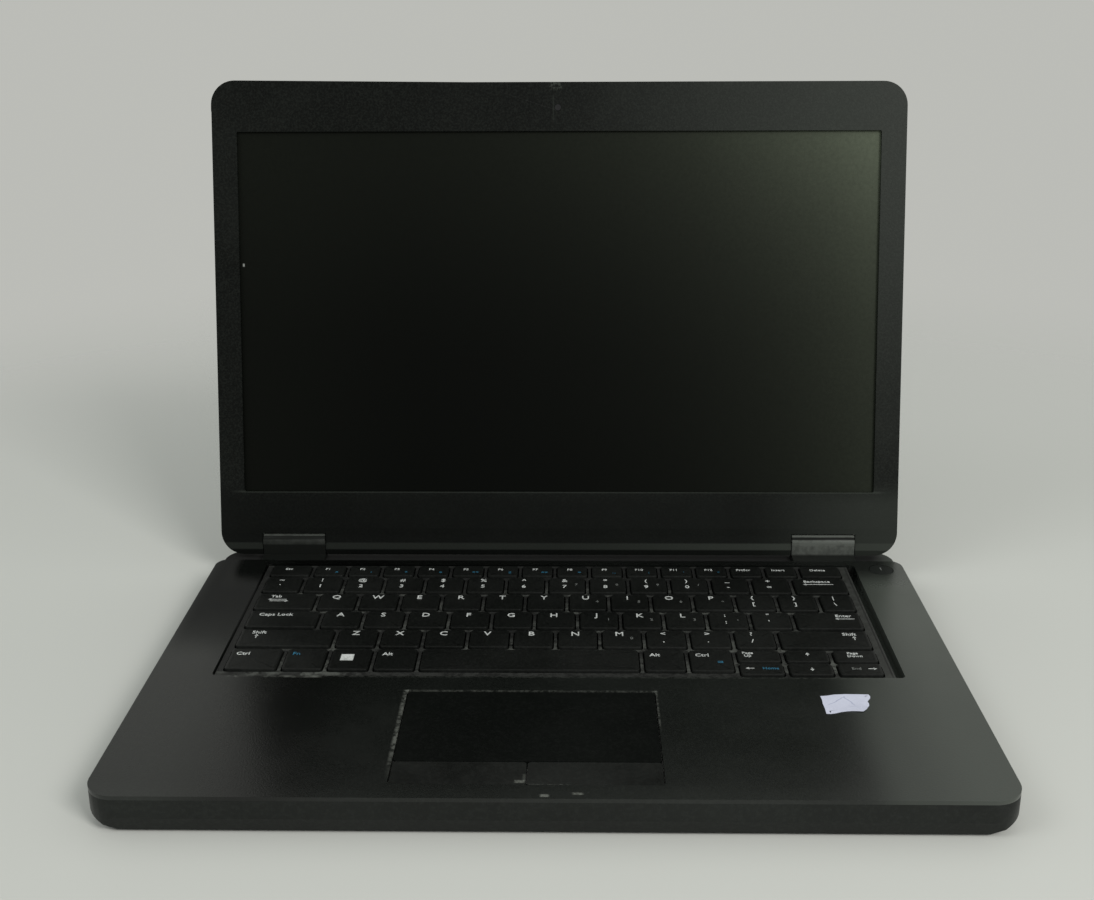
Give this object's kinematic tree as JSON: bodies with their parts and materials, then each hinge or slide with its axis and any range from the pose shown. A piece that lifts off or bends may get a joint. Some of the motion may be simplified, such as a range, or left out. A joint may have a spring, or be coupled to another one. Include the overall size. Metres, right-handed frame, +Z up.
{
  "type": "broken laptop computer",
  "caption": "Open, worn-out laptop with a dead screen, dusty keyboard, sprung bezel edge and a torn paper label beside the touchpad.",
  "frame": {"origin": "on the table, in the middle of the open laptop's footprint", "axes": "+X to the user's right along the hinge, +Y from the user towards the lid, +Z up"},
  "size_m": [0.3351, 0.2786, 0.2378],
  "materials": {
    "base_plastic": "near-black moulded plastic with a fine texture, worn and slightly greasy",
    "deck_plastic": "near-black textured palm rest, worn lighter where the hands rest, with dust and chips",
    "key_plastic": "black key caps with plain white legends and dust",
    "pad_plastic": "black touchpad and buttons, dusty along the edges",
    "lid_plastic": "near-black lid and bezel plastic, scuffed along the edges",
    "screen": "dead black screen with a soft matt face",
    "hinge_cap_plastic": "dark grey plastic, dusty",
    "steel": "plain pressed steel",
    "copper": "copper",
    "circuit_board": "green circuit board",
    "inner_plastic": "plain black plastic",
    "rubber": "black rubber",
    "paper": "torn white paper with faint pen strokes"
  },
  "bodies": {
    "base": {"base_cover": "base_plastic", "palm_rest": "deck_plastic", "keyboard_plate": "base_plastic", "key_membrane": "rubber", "touchpad": "pad_plastic", "touchpad_bracket": "steel", "motherboard": "circuit_board", "heatsink": "copper", "fan_housing": "inner_plastic", "battery": "inner_plastic", "memory_module": "circuit_board", "drive": "steel", "wireless_card": "circuit_board", "coin_cell": "steel", "speaker_left": "inner_plastic", "speaker_right": "inner_plastic", "power_inlet": "inner_plastic", "usb_port_left": "steel", "usb_port_right": "steel", "video_port": "steel", "network_port": "steel", "audio_jack": "inner_plastic", "rubber_feet": "rubber", "base_screws": "steel", "hinge_bracket_left": "steel", "hinge_bracket_right": "steel", "hinge_cap_left": "hinge_cap_plastic", "hinge_cap_right": "hinge_cap_plastic", "paper_label": "paper"},
    "lid": {"lid_cover": "lid_plastic", "display_bezel": "lid_plastic", "screen_panel": "screen", "hinge_arm_left": "steel", "hinge_arm_right": "steel", "webcam_module": "circuit_board", "display_cable": "inner_plastic"},
    "function_keys": {"function_keys": "key_plastic"},
    "number_keys": {"number_keys": "key_plastic"},
    "backspace_key": {"backspace_key": "key_plastic"},
    "tab_key": {"tab_key": "key_plastic"},
    "upper_letter_keys": {"upper_letter_keys": "key_plastic"},
    "caps_lock_key": {"caps_lock_key": "key_plastic"},
    "home_letter_keys": {"home_letter_keys": "key_plastic"},
    "enter_key": {"enter_key": "key_plastic"},
    "left_shift_key": {"left_shift_key": "key_plastic"},
    "lower_letter_keys": {"lower_letter_keys": "key_plastic"},
    "right_shift_key": {"right_shift_key": "key_plastic"},
    "modifier_keys": {"modifier_keys": "key_plastic"},
    "space_key": {"space_key": "key_plastic"},
    "page_up_key": {"page_up_key": "key_plastic"},
    "up_key": {"up_key": "key_plastic"},
    "page_down_key": {"page_down_key": "key_plastic"},
    "left_key": {"left_key": "key_plastic"},
    "down_key": {"down_key": "key_plastic"},
    "right_key": {"right_key": "key_plastic"},
    "touchpad_button_left": {"touchpad_button_left": "pad_plastic"},
    "touchpad_button_right": {"touchpad_button_right": "pad_plastic"},
    "power_button": {"power_button": "deck_plastic"},
    "fan_rotor": {"fan_rotor": "inner_plastic"}
  },
  "joints": [
    {"name": "lid_hinge", "type": "hinge", "parent": "base", "child": "lid", "pos_m": [0, 0.084, 0.0188], "axis": [1, 0, 0], "range_deg": [-76.6, 103.3]},
    {"name": "function_keys_press", "type": "slide", "parent": "base", "child": "function_keys", "axis": [0, 0, -1], "range_m": [0, 0.0018], "stiffness_N_per_m": 150, "springref_m": -0.0005},
    {"name": "number_keys_press", "type": "slide", "parent": "base", "child": "number_keys", "axis": [0, 0, -1], "range_m": [0, 0.0018], "stiffness_N_per_m": 150, "springref_m": -0.0005},
    {"name": "backspace_key_press", "type": "slide", "parent": "base", "child": "backspace_key", "axis": [0, 0, -1], "range_m": [0, 0.0018], "stiffness_N_per_m": 120, "springref_m": -0.0005},
    {"name": "tab_key_press", "type": "slide", "parent": "base", "child": "tab_key", "axis": [0, 0, -1], "range_m": [0, 0.0018], "stiffness_N_per_m": 120, "springref_m": -0.0005},
    {"name": "upper_letter_keys_press", "type": "slide", "parent": "base", "child": "upper_letter_keys", "axis": [0, 0, -1], "range_m": [0, 0.0018], "stiffness_N_per_m": 150, "springref_m": -0.0005},
    {"name": "caps_lock_key_press", "type": "slide", "parent": "base", "child": "caps_lock_key", "axis": [0, 0, -1], "range_m": [0, 0.0018], "stiffness_N_per_m": 120, "springref_m": -0.0005},
    {"name": "home_letter_keys_press", "type": "slide", "parent": "base", "child": "home_letter_keys", "axis": [0, 0, -1], "range_m": [0, 0.0018], "stiffness_N_per_m": 150, "springref_m": -0.0005},
    {"name": "enter_key_press", "type": "slide", "parent": "base", "child": "enter_key", "axis": [0, 0, -1], "range_m": [0, 0.0018], "stiffness_N_per_m": 120, "springref_m": -0.0005},
    {"name": "left_shift_key_press", "type": "slide", "parent": "base", "child": "left_shift_key", "axis": [0, 0, -1], "range_m": [0, 0.0018], "stiffness_N_per_m": 120, "springref_m": -0.0005},
    {"name": "lower_letter_keys_press", "type": "slide", "parent": "base", "child": "lower_letter_keys", "axis": [0, 0, -1], "range_m": [0, 0.0018], "stiffness_N_per_m": 150, "springref_m": -0.0005},
    {"name": "right_shift_key_press", "type": "slide", "parent": "base", "child": "right_shift_key", "axis": [0, 0, -1], "range_m": [0, 0.0018], "stiffness_N_per_m": 120, "springref_m": -0.0005},
    {"name": "modifier_keys_press", "type": "slide", "parent": "base", "child": "modifier_keys", "axis": [0, 0, -1], "range_m": [0, 0.0018], "stiffness_N_per_m": 150, "springref_m": -0.0005},
    {"name": "space_key_press", "type": "slide", "parent": "base", "child": "space_key", "axis": [0, 0, -1], "range_m": [0, 0.0018], "stiffness_N_per_m": 120, "springref_m": -0.0005},
    {"name": "page_up_key_press", "type": "slide", "parent": "base", "child": "page_up_key", "axis": [0, 0, -1], "range_m": [0, 0.0018], "stiffness_N_per_m": 120, "springref_m": -0.0005},
    {"name": "up_key_press", "type": "slide", "parent": "base", "child": "up_key", "axis": [0, 0, -1], "range_m": [0, 0.0018], "stiffness_N_per_m": 120, "springref_m": -0.0005},
    {"name": "page_down_key_press", "type": "slide", "parent": "base", "child": "page_down_key", "axis": [0, 0, -1], "range_m": [0, 0.0018], "stiffness_N_per_m": 120, "springref_m": -0.0005},
    {"name": "left_key_press", "type": "slide", "parent": "base", "child": "left_key", "axis": [0, 0, -1], "range_m": [0, 0.0018], "stiffness_N_per_m": 120, "springref_m": -0.0005},
    {"name": "down_key_press", "type": "slide", "parent": "base", "child": "down_key", "axis": [0, 0, -1], "range_m": [0, 0.0018], "stiffness_N_per_m": 120, "springref_m": -0.0005},
    {"name": "right_key_press", "type": "slide", "parent": "base", "child": "right_key", "axis": [0, 0, -1], "range_m": [0, 0.0018], "stiffness_N_per_m": 120, "springref_m": -0.0005},
    {"name": "touchpad_button_left_press", "type": "slide", "parent": "base", "child": "touchpad_button_left", "axis": [0, 0, -1], "range_m": [0, 0.0006], "stiffness_N_per_m": 300, "springref_m": -0.0003},
    {"name": "touchpad_button_right_press", "type": "slide", "parent": "base", "child": "touchpad_button_right", "axis": [0, 0, -1], "range_m": [0, 0.0006], "stiffness_N_per_m": 300, "springref_m": -0.0003},
    {"name": "power_button_press", "type": "slide", "parent": "base", "child": "power_button", "axis": [0, 0, -1], "range_m": [0, 0.0004], "stiffness_N_per_m": 400, "springref_m": -0.0003},
    {"name": "fan_spin", "type": "hinge", "parent": "base", "child": "fan_rotor", "pos_m": [-0.114, 0.031, 0.0045], "axis": [0, 0, 1], "continuous": true}
  ]
}
